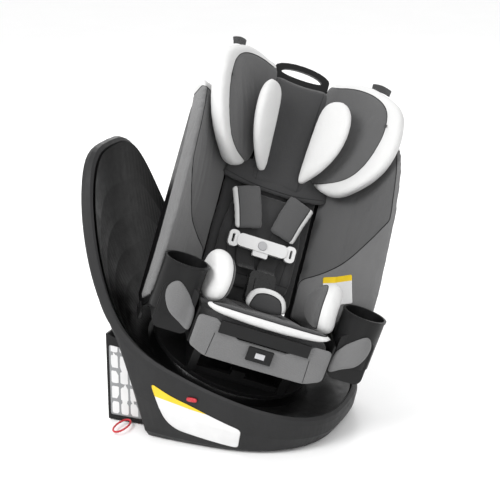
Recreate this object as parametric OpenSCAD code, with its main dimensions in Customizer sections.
// Rotating convertible car seat: a tub base with a tall back wall, a tilted
// turntable, a reclining bucket seat, a sliding headrest and a five-point harness.
// Millimetres, +Z up, -Y towards the front of the base.
// The origin is on the floor, straight below the turntable centre.

/* [Base] */
// Half of the base's width at the rim
base_half_w = 197; // [190:1:204]
// Distance from the turntable centre to the front rim
rim_front = 246; // [244:1:252]
// Distance from the turntable centre to the inner face of the back wall's top
rim_rear = 248; // [245:1:252]
// Height of the rim at the front
rim_low = 60; // [56:1:66]
// Height of the top of the back wall
wall_top = 540; // [530:1:550]

/* [Turntable] */
// Height of the turntable centre above the floor
hub_h = 115; // [114:0.5:118]
// Forward tilt of the turntable axis in degrees
tilt = 22.3; // [21.5:0.1:23]
// Angle that the seat is turned to at rest, from facing forwards
yaw = 63.5; // [55:0.5:70]
// Radius of the turntable disc
disc_r = 165; // [160:1:168]

/* [Seat] */
// Half of the seat's width over the side bolsters
seat_half_w = 218; // [216:0.5:220]
// Lean of the seat on its recline rails at rest
lean = 12; // [11:0.5:13]
// Angle between the seat back and the seat's own upright
back_angle = 25.1; // [24:0.1:26]
// Radius of the recline rails
rail_r = 262; // [262:1:262]
// Height of the recline axis above the turntable centre
recline_h = 300; // [300:1:302]
// Distance of each cup holder from the middle plane
cup_x = 177; // [176:0.5:178]
// Outside radius of a cup holder
cup_r = 41.5; // [40:0.5:41.5]

/* [Headrest] */
// Height of the headrest's lower edge up the seat back
head_z = 245; // [243:1:247]
// Height of the headrest
head_h = 288; // [286:1:292]

/* [Hidden] */
$fn = 64;

charcoal = [0.21, 0.21, 0.22];
black_plastic = [0.07, 0.07, 0.07];
dark_fabric = [0.33, 0.33, 0.34];
mid_fabric = [0.48, 0.48, 0.48];
pale_fabric = [0.90, 0.90, 0.90];
steel = [0.70, 0.71, 0.73];

fit = 0.35;           // gap between neighbouring solids
bight_y = 40;         // where the seat and the back meet, in the seat frame
bight_z = 95;
shell_t = 4;          // thickness of the moulded shells
tub_steps = 120;      // facets round the tub
floor_r = 172;        // radius of the bowl's flat floor
pad_h = 2;            // height of the anti-slip pads
ball_r = 4;
race_r = 132;         // radius of the ball track
lock_r = 100;         // radius of the lock holes
pin_r = 6;
shaft_r = 22;
disc_z = 14;          // underside of the turntable disc
disc_t = 8;
rail_x = 92;          // middle of each recline rail
rail_w = 16;
shell_x = 212;        // outside of the seat shell's side walls
slot_half = 22;       // half width of the slot that the headrest post runs in

// ---- frames ----
module on_axis() translate([0, 0, hub_h]) rotate([tilt, 0, 0]) children();
module on_turntable() on_axis() rotate([0, 0, -yaw]) children();
module on_seat() on_turntable() rotate([-lean, 0, 0]) children();
module on_back() on_seat() translate([0, bight_y, bight_z]) rotate([-back_angle, 0, 0]) children();

// ---- shared shapes ----
module both_sides() { children(); mirror([1, 0, 0]) children(); }

// Extrudes an outline given as [y, z] along X, centred
module along_x(w) rotate([90, 0, 90]) linear_extrude(w, center = true) children();

// Extrudes an outline given as [x, z] along Y, from y0 over the depth d
module along_y(y0, d) translate([0, y0 + d, 0]) rotate([90, 0, 0]) linear_extrude(d) children();

// Rectangle with round corners, from its low corner
module round_rect(x0, y0, w, h, r) {
    translate([x0 + r, y0]) square([w - 2 * r, h]);
    translate([x0, y0 + r]) square([w, h - 2 * r]);
    for (x = [x0 + r, x0 + w - r], y = [y0 + r, y0 + h - r]) translate([x, y]) circle(r);
}

// Closed skin through rings of equal length, capped at both ends
module loft(rings) {
    n = len(rings[0]);
    m = len(rings);
    sides = [for (j = [0:m - 2], i = [0:n - 1]) let (k = (i + 1) % n)
        each [[j * n + i, (j + 1) * n + i, (j + 1) * n + k], [j * n + i, (j + 1) * n + k, j * n + k]]];
    polyhedron([for (r = rings) each r],
        concat([[for (i = [0:n - 1]) i]], sides, [[for (i = [n - 1:-1:0]) (m - 1) * n + i]]),
        convexity = 8);
}

// Closed skin through rings that themselves close round a loop
module loop_loft(rings) {
    n = len(rings[0]);
    m = len(rings);
    polyhedron([for (r = rings) each r],
        [for (j = [0:m - 1], i = [0:n - 1]) let (k = (i + 1) % n, l = (j + 1) % m)
            each [[j * n + i, l * n + i, l * n + k], [j * n + i, l * n + k, j * n + k]]],
        convexity = 10);
}

function spow(v, p) = sign(v) * pow(abs(v), p);

// Pillow shape: a super-ellipsoid of full size s, squarer with a larger n in plan and m in height
module pillow(s, n = 3, m = 2.4, around = 28, levels = 8) {
    loft([for (j = [0:levels]) let (v = -84 + 168 * j / levels, c = pow(cos(v), 2 / m))
        [for (i = [0:around - 1]) let (u = 360 * i / around)
            [s.x / 2 * spow(cos(u), 2 / n) * c, s.y / 2 * spow(sin(u), 2 / n) * c, s.z / 2 * spow(sin(v), 2 / m)]]]);
}

// Flat strip of width w and thickness t along points, kept level across X
module strip(path, w, t) {
    last = len(path) - 1;
    function tangent(i) = let (d = path[min(i + 1, last)] - path[max(i - 1, 0)]) d / norm(d);
    loft([for (i = [0:last]) let (d = tangent(i), side = [d.z, 0, -d.x] / norm([d.z, 0, -d.x]), up = cross(d, side))
        [path[i] - side * w / 2 - up * t / 2, path[i] + side * w / 2 - up * t / 2,
         path[i] + side * w / 2 + up * t / 2, path[i] - side * w / 2 + up * t / 2]]);
}

// ---- base tub ----
front_n = 2.7;        // roundness of the plan in front of and behind the centre
rear_n = 3.3;
function plan(a, half_w, front, rear) = let (s = sin(a), n = s > 0 ? rear_n : front_n)
    [half_w * spow(cos(a), 2 / n), (s > 0 ? rear : front) * spow(s, 2 / n)];
rim_rise = 160;       // even rise of the rim from front to rear
function rim_z(y) = let (t = (y + rim_front) / (rim_front + rim_rear))
    rim_low + rim_rise * t + (wall_top - rim_low - rim_rise) * pow(t, 8);
// The lip is twice as wide across the back wall as round the skirt
function rim(a, grow, dz) = let (p = plan(a, base_half_w, rim_front, rim_rear))
    [p.x * grow, p.y * (p.y > 0 ? 2 * grow - 1 : grow), rim_z(p.y) + dz];
function axis_to_row(p) = [p.x, p.y * cos(tilt) - p.z * sin(tilt), hub_h + p.y * sin(tilt) + p.z * cos(tilt)];
function floor_edge(a, r, z) = axis_to_row([r * cos(a), r * sin(a), z]);

// The skirt ends at the floor in front and above the recessed rear block behind
floor_front = 236;
floor_rear = 212;
skirt_front_end = 96;
skirt_rear_start = 131;
skirt_rear_z = 187;
function skirt_low(a, grow) = let (p = plan(a, base_half_w - 2, floor_front, floor_rear))
    [p.x * grow, p.y * grow, lookup(p.y, [[skirt_front_end, pad_h], [skirt_rear_start, skirt_rear_z]])];
function mix(p, q, t) = p + (q - p) * t;
function skirt_at(a, t, grow) = let (low = skirt_low(a, 1), top = rim(a, 1.05, -16), p = mix(low, top, t))
    [p.x * grow, p.y * grow, p.z];

module base_shell() color(charcoal) loop_loft([for (i = [0:tub_steps - 1]) let (a = 360 * i / tub_steps)
    [skirt_low(a, 0.977), skirt_low(a, 0.967),
     skirt_at(a, 0.5, 1.0), skirt_at(a, 1, 0.975), rim(a, 1.028, -6), rim(a, 1.018, -9), rim(a, 1.016, -28),
     rim(a, 1.0, -30), rim(a, 1.0, -8), rim(a, 1.012, -1.5), rim(a, 1.03, 0), rim(a, 1.048, -6),
     skirt_at(a, 1, 1), skirt_at(a, 0.5, 1.025), skirt_at(a, 0.07, 1.008)]]);

// Bowl surface from the floor edge (t = 0) to the rim (t = 1)
function bowl_at(a, t, grow, dz) = let (
    c = floor_edge(a, floor_r, 0), r = rim(a, 0.990, -9),
    k = [c.x + (r.x - c.x) * 0.8, c.y + (r.y - c.y) * 0.8, c.z + (r.z - c.z) * 0.3],
    p = c * pow(1 - t, 2) + k * 2 * t * (1 - t) + r * t * t)
    [p.x * grow, p.y * grow, p.z + dz];
liner_steps = 6;

module bowl_liner() color(black_plastic) loop_loft([for (i = [0:tub_steps - 1]) let (a = 360 * i / tub_steps)
    concat(
        [floor_edge(a, 149, -3), floor_edge(a, 149, 0)],
        [for (j = [0:liner_steps]) bowl_at(a, j / liner_steps, 1, 0)],
        [for (j = [liner_steps:-1:0]) bowl_at(a, j / liner_steps, 1.002 + 0.012 * (1 - j / liner_steps), -0.5 - 2.5 * (1 - j / liner_steps))])]);

core_half_w = 148;
core_rear = 200;
// Wedge-shaped block that carries the bearing and houses the rigid connectors
module base_core() color(black_plastic) difference() {
    translate([-core_half_w, -118, pad_h + 3 + fit]) cube([2 * core_half_w, 118 + core_rear, 180]);
    on_axis() translate([-300, -400, -9.4]) cube([600, 800, 400]);
    on_axis() translate([0, 0, -16]) cylinder(h = 20, r = 38);
    for (x = [-105, 105]) translate([x - 22, 60, 30]) cube([44, 160, 34]);
}

module bottom_plate() color(black_plastic) translate([0, 0, pad_h]) linear_extrude(3) difference() {
    union() {
        polygon([for (i = [0:71]) let (a = 360 * i / 72, p = plan(a, base_half_w - 2, floor_front, floor_rear)) [p.x * 0.945, min(p.y, 92) * 0.945]]);
        translate([-core_half_w, 0]) square([2 * core_half_w, core_rear]);
    }
    for (p = screw_spots) translate(p) circle(r = 2.6);
}
screw_spots = [[-120, -60], [120, -60], [-120, 40], [120, 40], [-120, 180], [120, 180]];

module anti_slip_pads() color([0.12, 0.12, 0.12]) {
    cylinder(h = pad_h - 0.05, r = 45);
    for (x = [-1, 1]) {
        translate([x * 118, -95, 0]) linear_extrude(pad_h - 0.05) round_rect(-30, -22, 60, 44, 10);
        translate([x * 118, 110, 0]) linear_extrude(pad_h - 0.05) round_rect(-26, -40, 52, 80, 10);
    }
}

module base_screws() color(steel) for (p = screw_spots) translate([p.x, p.y, 0.6]) {
    cylinder(h = 1.35, r = 5);
    translate([0, 0, 1.35]) cylinder(h = 3.3, r = 2.5);
}

// ---- bearing and rotation lock ----
module bearing_housing() color(black_plastic) on_axis() difference() {
    union() {
        translate([0, 0, -9]) cylinder(h = 4.4, r = 168, $fn = 96);
        translate([0, 0, -8]) cylinder(h = 7, r = 148.4, $fn = 96);
    }
    translate([0, 0, -10]) cylinder(h = 12, r = shaft_r + 0.05);
}

module lower_race() color(steel) on_axis() rotate_extrude($fn = 96) difference() {
    translate([race_r - 13, -0.95]) square([26, 6]);
    translate([race_r, 5]) circle(ball_r + 0.03, $fn = 40);
}

ball_count = 24;
module bearing_balls() color(steel) on_axis() for (i = [0:ball_count - 1])
    rotate([0, 0, 360 * i / ball_count]) translate([race_r, 0, 5]) sphere(ball_r, $fn = 24);

module pivot_shaft() color(steel) on_axis() {
    translate([0, 0, -15]) cylinder(h = 5.9, r = 34);
    translate([0, 0, -9.1]) cylinder(h = 33.1, r = shaft_r);
    translate([0, 0, 24]) cylinder(h = 8, r = 16);
}

module lock_ring() color(steel) on_axis() difference() {
    translate([0, 0, -0.95]) cylinder(h = 6, r = 112);
    translate([0, 0, -2]) cylinder(h = 8, r = 86);
    for (a = [0:90:270]) rotate([0, 0, a]) translate([0, -lock_r, -2]) cylinder(h = 8, r = pin_r + 0.3);
}

module upper_race() color(steel) on_axis() rotate_extrude($fn = 96) difference() {
    translate([race_r - 13, 6]) square([26, 7.9]);
    translate([race_r, 5]) circle(ball_r + 0.15, $fn = 40);
}

module turntable_disc() color(black_plastic) on_turntable() difference() {
    translate([0, 0, disc_z]) cylinder(h = disc_t, r = disc_r, $fn = 96);
    translate([0, 0, disc_z - 1]) cylinder(h = disc_t + 2, r = shaft_r + 5.05);
    translate([0, -lock_r, disc_z - 1]) cylinder(h = disc_t + 2, r = pin_r + 0.05);
}

module hub_bush() color([0.75, 0.6, 0.3]) on_turntable() difference() {
    translate([0, 0, disc_z - 1]) cylinder(h = disc_t + 2, r = shaft_r + 5);
    translate([0, 0, disc_z - 2]) cylinder(h = disc_t + 4, r = shaft_r + 0.05);
}

module hub_nut() color(steel) on_axis() difference() {
    translate([0, 0, 24.1]) cylinder(h = 7, r = 30, $fn = 6);
    translate([0, 0, 23]) cylinder(h = 10, r = 16.03);
}

module rail_outline() difference() {
    translate([-138, disc_z + disc_t + 0.05]) square([276, 62]);
    translate([0, recline_h]) circle(rail_r, $fn = 160);
}

module recline_rails() color(black_plastic) on_turntable() {
    for (x = [-rail_x, rail_x]) translate([x, 0, 0]) along_x(rail_w) rail_outline();
    for (s = [-1, 1]) translate([-rail_x + rail_w / 2, s * 128 - 5, disc_z + disc_t + 0.05])
        cube([2 * rail_x - rail_w, 10, 12]);
    translate([-13, -133, 30]) cube([26, 12, 16]);
    translate([-13, -133, 42]) cube([26, 46, 4]);
}

// Lock pin, held up on the ring's face at this turn of the seat
module lock_pin() color(steel) on_turntable() translate([0, -lock_r, 0]) {
    translate([0, 0, 5.4]) cylinder(h = 26, r = pin_r);
    translate([0, 0, 27]) cylinder(h = 3, r = 10);
}

spring_turns = 4;
module lock_pin_spring() color(steel) on_turntable() translate([0, -lock_r, 0]) {
    n = 12 * spring_turns;
    loft([for (i = [0:n]) let (a = 30 * i, z = 31 + 10.2 * i / n)
        [for (j = [5:-1:0]) let (b = 60 * j) [(7.5 + 0.7 * cos(b)) * cos(a), (7.5 + 0.7 * cos(b)) * sin(a), z + 0.7 * sin(b)]]]);
}

// ---- labels, connectors and indicator on the base ----
module side_label() color([0.72, 0.73, 0.74]) translate([-core_half_w - 0.6, 150, 12])
    rotate([90, 0, 90]) linear_extrude(0.5) polygon([[-26, 0], [44, 0], [44, 150], [0, 146], [-26, 120]]);

// Blank label that follows the left skirt
label_from = 172.5;
label_to = 198.5;
label_steps = 10;
module skirt_label() color(pale_fabric) loft([for (i = [0:label_steps]) let (
    a = mix(label_from, label_to, i / label_steps), low = mix(0.24, 0.1, i / label_steps), high = mix(0.80, 0.58, i / label_steps))
    [for (q = [[0.5, 0.002], [high, 0.002], [high, 0.005], [0.5, 0.005], [low, 0.005], [low, 0.002]])
        skirt_at(a, q[0], label_bulge(q[0]) + q[1])]]);
// Outward growth of the skirt's facets at the height t
function label_bulge(t) = lookup(t, [[0.07, 1.008], [0.5, 1.025], [1, 1]]);

module latch_connectors() color(steel) for (x = [-105, 105]) translate([x, 0, 47]) {
    difference() {
        translate([-6, 70, -9]) cube([12, 120, 18]);
        translate([-7, 172, -4]) cube([14, 30, 8]);
    }
    translate([-14, 78, -12]) cube([8 - fit, 70, 24]);
    translate([6 + fit, 78, -12]) cube([8 - fit, 70, 24]);
}

// Flat red webbing loop that pulls the connectors out, on the floor beside the rear block
module latch_pull_loop() color([0.8, 0.08, 0.1]) translate([-core_half_w - 1, 152, pad_h + 6]) difference() {
    translate([-34, 0, 0]) scale([1, 0.42, 1]) cylinder(h = 2, r = 34);
    translate([-34, 0, -1]) scale([1, 0.34, 1]) cylinder(h = 4, r = 29);
}

module lock_indicator() color([0.8, 0.1, 0.15]) {
    at = skirt_at(181, 0.86, 1.02);
    translate(at) rotate([0, 0, 0]) pillow([5, 22, 9], 4, 3, 16, 6);
}

// ---- seat shell ----
side_top_z = 425;     // top of the shell's side walls up the back
// Outline of the shell's side seen from the side, in the back frame as [y, z]
module wing_side(grow) polygon([[-164 - grow, -70], [-187 - grow, 20], [-193 - grow, 120], [-182 - grow, 230],
    [-150 - grow, 330], [-115 - grow, 385], [-84 - grow, 410], [-40, side_top_z + grow], [45, side_top_z + grow], [45, -70]]);

// U-shaped plan of the moulded back, in the back frame
module back_plan() difference() {
    round_rect(-shell_x, -260, 2 * shell_x, 298, 45);
    round_rect(-shell_x + shell_t, -300, 2 * (shell_x - shell_t), 338 - shell_t, 41);
}

// Underside of the pan, in the seat frame as [y, z]
pan = [[-236, 118], [30, 58]];

module seat_shell() color(black_plastic) {
    difference() {
        on_back() intersection() {
            translate([0, 0, -70]) linear_extrude(side_top_z + 90) back_plan();
            along_x(500) wing_side(0);
            along_y(-300, 400) round_rect(-shell_x, -160, 2 * shell_x, 160 + side_top_z, 70);
        }
        on_back() translate([-slot_half, 20, 285]) cube([2 * slot_half, 60, 300]);
        on_seat() translate([-140, -300, -60]) cube([280, 330, 160]);
        on_seat() translate([-300, -400, -200]) cube([600, 800, 200 + 62]);
        on_turntable() for (x = [-rail_x, rail_x]) translate([x - rail_w / 2 - 1.5, -150, 0])
            cube([rail_w + 3, 300, 92]);
    }
    on_seat() along_x(270) polygon([pan[0], pan[1], pan[1] + [0, shell_t], pan[0] + [0, shell_t]]);
    on_seat() for (x = [-133, 133]) translate([x, 0, 0])
        along_x(4) polygon([[-236, 80], [-236, 150], [-149, 160], [-149, 78]]);
    on_seat() along_x(270) translate([-236, 80]) square([shell_t, 42]);
    on_turntable() intersection() {
        union() for (x = [-rail_x, rail_x]) translate([x, 0, 0])
            along_x(rail_w) polygon([[-165, 142], [47, 52], [95, 70], [95, 30], [-165, 30]]);
        translate([0, 0, recline_h]) rotate([0, 90, 0]) cylinder(h = 400, r = rail_r - 7.2, center = true, $fn = 160);
    }
}

// Arc shoes that slide on the recline rails
module recline_runners() color([0.85, 0.85, 0.82]) on_turntable() for (x = [-rail_x, rail_x])
    translate([x, 0, 0]) along_x(rail_w - 2) intersection() {
        translate([0, recline_h]) difference() {
            circle(rail_r - 0.4, $fn = 160);
            circle(rail_r - 7, $fn = 160);
        }
        translate([-96, 0]) square([170, 80]);
    }

module seat_back_cover() color(black_plastic) on_back() difference() {
    translate([0, 0, 76]) linear_extrude(359) difference() {
        round_rect(-160, 20, 320, 46, 16);
        translate([-170, 10]) square([340, 28.4]);
    }
    linear_extrude(500) round_rect(-156, 20, 312, 42, 13);
}

// ---- cup holders and arms ----
cup_y = -193;
cup_top = 216;
cup_lip = 1.5;        // how far the rolled rim stands out round a cup holder
module cup_holder() difference() {
    union() {
        translate([cup_x, cup_y, 118]) cylinder(h = cup_top - 118, r = cup_r);
        translate([cup_x, cup_y, cup_top - 4]) cylinder(h = 4, r = cup_r + cup_lip);
        translate([cup_x, 0, 0]) along_y(-226, 76) round_rect(-37.5, 86, 68, 90, 14);
    }
    translate([cup_x, cup_y, 145]) cylinder(h = 90, r = cup_r - 3);
}
module cup_holder_right() color(black_plastic) on_seat() cup_holder();
module cup_holder_left() color(black_plastic) on_seat() mirror([1, 0, 0]) cup_holder();

// Padded leaf-shaped panels on the front of the arms, hollowed round the cup holders
arm_leaf = [[137, 97], [160, 106], [186, 124], [200, 143], [203, 162], [198, 178], [187, 186], [176, 182],
    [160, 166], [147, 149], [137, 134]];
panel_hollow_z = 113; // height above which the panels give way to the cup holders
module arm_covers() color(mid_fabric) on_seat() both_sides() difference() {
    along_y(-238.5, 12.5 - fit) polygon(arm_leaf);
    translate([cup_x, cup_y, panel_hollow_z]) cylinder(h = 90, r = cup_r + fit);
}

// ---- soft parts of the seat ----
// Depth of the side bolster's front edge ahead of the back plane, by height up the back
function bolster_depth(z) = lookup(z, [[-60, 179], [0, 195], [60, 205], [120, 203], [230, 192], [330, 160], [385, 124], [412, 92]]);
// The bolster's root stands further out below the seat back's foot, to clear the pan
function bolster_root(z) = lookup(z, [[-6, 138], [0, 104]]);
function bolster_ring(z) = let (d = bolster_depth(z), root = bolster_root(z))
    [for (p = concat(
        [[root, 6], [root + 4, -8], [158, -d * 0.375], [200, -d + 16]],
        [for (a = [200:40:360]) [210 + 8.2 * cos(a), -d + 9 + 8.2 * sin(a)]],
        [[seat_half_w, -d + 100], [shell_x + fit, -d + 100], [shell_x + fit, -d + 8.5], [207.4, -d + 8.5],
         [203.5, -d + 24], [169, 2 - d * 0.375], [root + 20, 6]])) [p.x, p.y, z]];
function bolster_levels() = [-56, -6, 0, 60, 120, 230, 330, 385, 406];
module side_cover() loft([for (z = bolster_levels()) bolster_ring(z)]);
module side_cover_right() color(mid_fabric) on_back() side_cover();
module side_cover_left() color(mid_fabric) on_back() mirror([1, 0, 0]) side_cover();

function foam_ring(z) = let (d = bolster_depth(z))
    [[130, 9, z], [172, 7 - d * 0.375, z], [204, -d + 30, z], [206.6, -d + 30, z], [206.6, -8, z], [190, 20, z], [130, 20, z]];
module side_foams() color([0.25, 0.25, 0.27]) on_back() both_sides()
    loft([for (z = [4, 60, 120, 230, 330, 385]) foam_ring(z)]);

module back_cushion() color(dark_fabric) on_back() difference() {
    along_y(10, 20) round_rect(-100, 0, 200, 420, 30);
    translate([-slot_half, 0, 285]) cube([2 * slot_half, 60, 300]);
}

module seat_cushion() color(dark_fabric) on_seat()
    along_x(261) polygon([[-230, 122], [-230, 136], [-212, 141], [-196, 143], [22, 94], [22, 65]]);

module front_apron() color(mid_fabric) on_seat() along_y(-246, 9) difference() {
    polygon([[-134, 76], [-134, 140], [-92, 140], [-92, 112], [92, 112], [92, 140], [134, 140], [134, 76],
        [100, 62], [-100, 62]]);
    translate([-11, 88]) square([22, 14]);
}

module insert_hips() color(pale_fabric) on_seat() both_sides()
    translate([109, -146, 191]) rotate([-14, 0, 0]) rotate([0, 90, 0]) pillow([98, 146, 48], 2.4, 2.6);

module insert_front_roll() color(pale_fabric) on_seat() translate([0, -232, 155]) rotate([0, 90, 0]) pillow([24, 24, 250], 2.4, 5);

module insert_seat_pad() color(dark_fabric) on_seat() along_x(160) polygon([[-216, 150], [-216, 164], [0, 114], [0, 102]]);

module insert_back_pad() color(dark_fabric) on_back() along_y(-14, 22) round_rect(-88, 38, 176, 196, 40);

module crotch_pad() color(pale_fabric) on_seat() translate([0, -152, 173.5]) rotate([-24, 0, 0])
    rotate([90, 0, 0]) pillow([84, 46, 14], 2.6, 2.6);

module on_buckle() on_seat() translate([0, -72, 138]) rotate([-30, 0, 0]) children();
module buckle_body() color(black_plastic) on_buckle() difference() {
    along_y(-13, 24) round_rect(-27, 0, 54, 62, 9);
    translate([-15.2, -16, 21.8]) cube([30.4, 12, 24.4]);
}
module buckle_button() color([0.75, 0.08, 0.08]) on_buckle() along_y(-15.5, 8) round_rect(-15, 22, 30, 24, 3);

// Shoulder straps, from the slots in the headrest down to the buckle
strap_route = [[61.4, -24, 234], [47, -27, 190], [35, -27, 152], [31, -28, 122], [24, -31, 84], [21, -50, 68], [20, -92, 60]];
module harness_webbing() color(black_plastic) on_back() both_sides() strip(strap_route, 38, 1.4);

module adjuster_housing() color(black_plastic) on_seat() translate([0, -252, 82]) difference() {
    translate([-24, 0, 0]) cube([48, 5.6, 26]);
    translate([-9.2, -1, 7.8]) cube([18.4, 12, 10.4]);
}
module adjuster_button() color([0.7, 0.7, 0.7]) on_seat() translate([-9, -254, 90]) cube([18, 6, 10]);

// Pull bar under the front edge that frees the turntable
module rotation_lever() color(black_plastic) on_seat() {
    translate([-88, -248, 116]) cube([176, 7, 24]);
    translate([-88, -241, 120]) cube([176, 4.6, 12]);
}
// Rocking paddle in the arm's outside that frees the recline
module recline_lever() color(black_plastic) on_seat() translate([-217.5, -68, 66]) rotate([0, 90, 0]) {
    linear_extrude(5) translate([-10, -54]) round_rect(0, 0, 20, 60, 8);
    translate([0, 0, -1.2]) cylinder(h = 6.2, r = 5);
}

// ---- headrest ----
plate_y = 2;
module headrest_frame() color(black_plastic) on_back() {
    along_y(plate_y, 6) round_rect(-97, head_z + 22, 194, 206, 20);
    translate([-20, 7, 300]) cube([40, 36, 30]);
    along_y(42, 5) round_rect(-45, 285, 90, 60, 8);
    both_sides() loft([for (w = [40, 90, 150, 210])
        panel_ring(w, wing_len(w) + 14, trim_w + 12, wing_t(w) + 0.6, wing_t(w) + 4.6)]);
}
pad_top = 492;
module headrest_pad() color(dark_fabric) on_back() {
    along_y(-28, 29.6) polygon([[-70, head_z + 4], [70, head_z + 4], [64, head_z + 130], [70, pad_top - 12],
        [58, pad_top], [-58, pad_top], [-70, pad_top - 12], [-64, head_z + 130]]);
    along_y(-30, 12) polygon([[-108, head_z + 8], [-40, head_z], [40, head_z], [108, head_z + 8], [70, head_z + 36], [-70, head_z + 36]]);
}

// Tip of the head wing by height above the headrest's lower edge
function wing_tip(w) = [
    lookup(w, [[0, 122], [30, 144], [90, 183], [150, 200], [210, 200], [262, 180], [288, 148]]),
    lookup(w, [[0, -112], [30, -134], [90, -152], [150, -152], [210, -134], [262, -92], [288, -56]])];
wing_root = [82, -16];
function wing_len(w) = norm(wing_tip(w) - wing_root);
// Point of the wing's section at the height w, back from the tip and out towards the bolster
function on_wing(w, back, out) = let (tip = wing_tip(w), d = (tip - wing_root) / wing_len(w))
    tip - d * back + [-d.y, d.x] * out;
// Half of the padding's thickness
function wing_t(w) = lookup(w, [[0, 6], [14, 12], [40, 15], [250, 15], [276, 11], [288, 6]]);
wing_levels = [0, 14, 40, 90, 150, 210, 250, 276, 288];
trim_w = 34;

function wing_ring(w) = let (t = wing_t(w), lift = 26 * (1 - w / head_h))
    [for (q = concat([for (k = [90:45:270]) on_wing(w, wing_len(w) - 27 - t * cos(k), t * sin(k))],
                     [for (k = [-90:45:90]) on_wing(w, trim_w + t - t * cos(k), t * sin(k))]))
        [q.x, q.y, head_z + w + lift * (1 - min(1, norm(q - wing_root) / wing_len(w)))]];
module head_wing() loft([for (w = wing_levels) wing_ring(w)]);
module head_wing_right() color(dark_fabric) on_back() head_wing();
module head_wing_left() color(dark_fabric) on_back() mirror([1, 0, 0]) head_wing();

// Four-cornered section between two distances back from the tip and two distances out
function panel_ring(w, far, near, inner, outer) =
    [for (q = [on_wing(w, far, inner), on_wing(w, near, inner), on_wing(w, near, outer), on_wing(w, far, outer)])
        [q.x, q.y, head_z + w]];

// Pale band round the wing's front edge
function trim_ring(w) = let (t = wing_t(w))
    [for (q = concat([on_wing(w, trim_w - 1, t), on_wing(w, trim_w - 1, -t)],
                     [for (k = [-90:45:90]) on_wing(w, t - t * cos(k), t * sin(k))]))
        [q.x, q.y, head_z + w]];
module wing_trims() color(pale_fabric) on_back() both_sides() loft([for (w = wing_levels) trim_ring(w)]);

// Blank woven labels stitched flat on the bands
module wing_tags() color(mid_fabric) on_back() both_sides()
    loft([for (w = [222, 236, 250]) panel_ring(w, trim_w - 8, trim_w - 19, -wing_t(w) - 1.4, -wing_t(w) - 0.4)]);

module head_pillows() color(pale_fabric) on_back() both_sides() translate([67, -76, 362]) rotate([0, 0, -54])
    rotate([0, 6, 0]) rotate([90, 0, 0]) pillow([98, 180, 36], 2.2, 2.6);

pad_line = [[63, -36, 237], [47, -38, 192], [35.3, -39, 149.5]];
module shoulder_pads() color(dark_fabric) on_back() both_sides() strip(pad_line, 58, 12);

handle_z = 480;
handle_w = 62;        // half width of the handle
grip_w = 46;          // half width of its finger slot
// Arch of half width w that rises from the height low by the given rise
function arch(w, low, rise, n = 10) = [for (i = [0:n]) let (a = 180 * i / n) [w * cos(a), low + rise * sin(a)]];
module headrest_handle() color(black_plastic) on_back() difference() {
    along_y(3, 9) polygon(concat(arch(handle_w, handle_z + 34, 18), [[-handle_w, handle_z + 12],
        [12 - handle_w, handle_z], [handle_w - 12, handle_z], [handle_w, handle_z + 12]]));
    along_y(0, 14) polygon(concat(arch(grip_w, handle_z + 28, 12), arch(-grip_w, handle_z + 27.5, -6)));
}

// ---- chest clip ----
clip_z = 122;
module chest_clip() color(pale_fabric) on_back() translate([0, -47, clip_z]) difference() {
    union() {
        along_y(0, 13) round_rect(-54, -13, 108, 27, 11);
        both_sides() along_y(2, 9) round_rect(50, -17, 22, 34, 9);
        along_y(2, 9) round_rect(-16, -24, 32, 16, 3);
    }
    translate([0, -1, 0]) rotate([-90, 0, 0]) cylinder(h = 10, r = 9.3);
    both_sides() along_y(-2, 16) round_rect(60, -9, 5, 18, 2);
}
module clip_button() color([0.8, 0.8, 0.8]) on_back() translate([0, -49, clip_z]) rotate([-90, 0, 0]) cylinder(h = 7, r = 9);

base_shell();
bowl_liner();
base_core();
bottom_plate();
anti_slip_pads();
base_screws();
bearing_housing();
lower_race();
bearing_balls();
pivot_shaft();
lock_ring();
side_label();
skirt_label();
latch_connectors();
latch_pull_loop();
lock_indicator();
upper_race();
turntable_disc();
hub_bush();
hub_nut();
recline_rails();
lock_pin();
lock_pin_spring();
seat_shell();
recline_runners();
seat_back_cover();
cup_holder_left();
cup_holder_right();
arm_covers();
side_foams();
side_cover_left();
side_cover_right();
back_cushion();
seat_cushion();
front_apron();
insert_hips();
insert_front_roll();
insert_seat_pad();
insert_back_pad();
crotch_pad();
buckle_body();
harness_webbing();
adjuster_housing();
buckle_button();
adjuster_button();
rotation_lever();
recline_lever();
headrest_frame();
headrest_pad();
head_wing_left();
head_wing_right();
wing_trims();
head_pillows();
shoulder_pads();
wing_tags();
headrest_handle();
chest_clip();
clip_button();
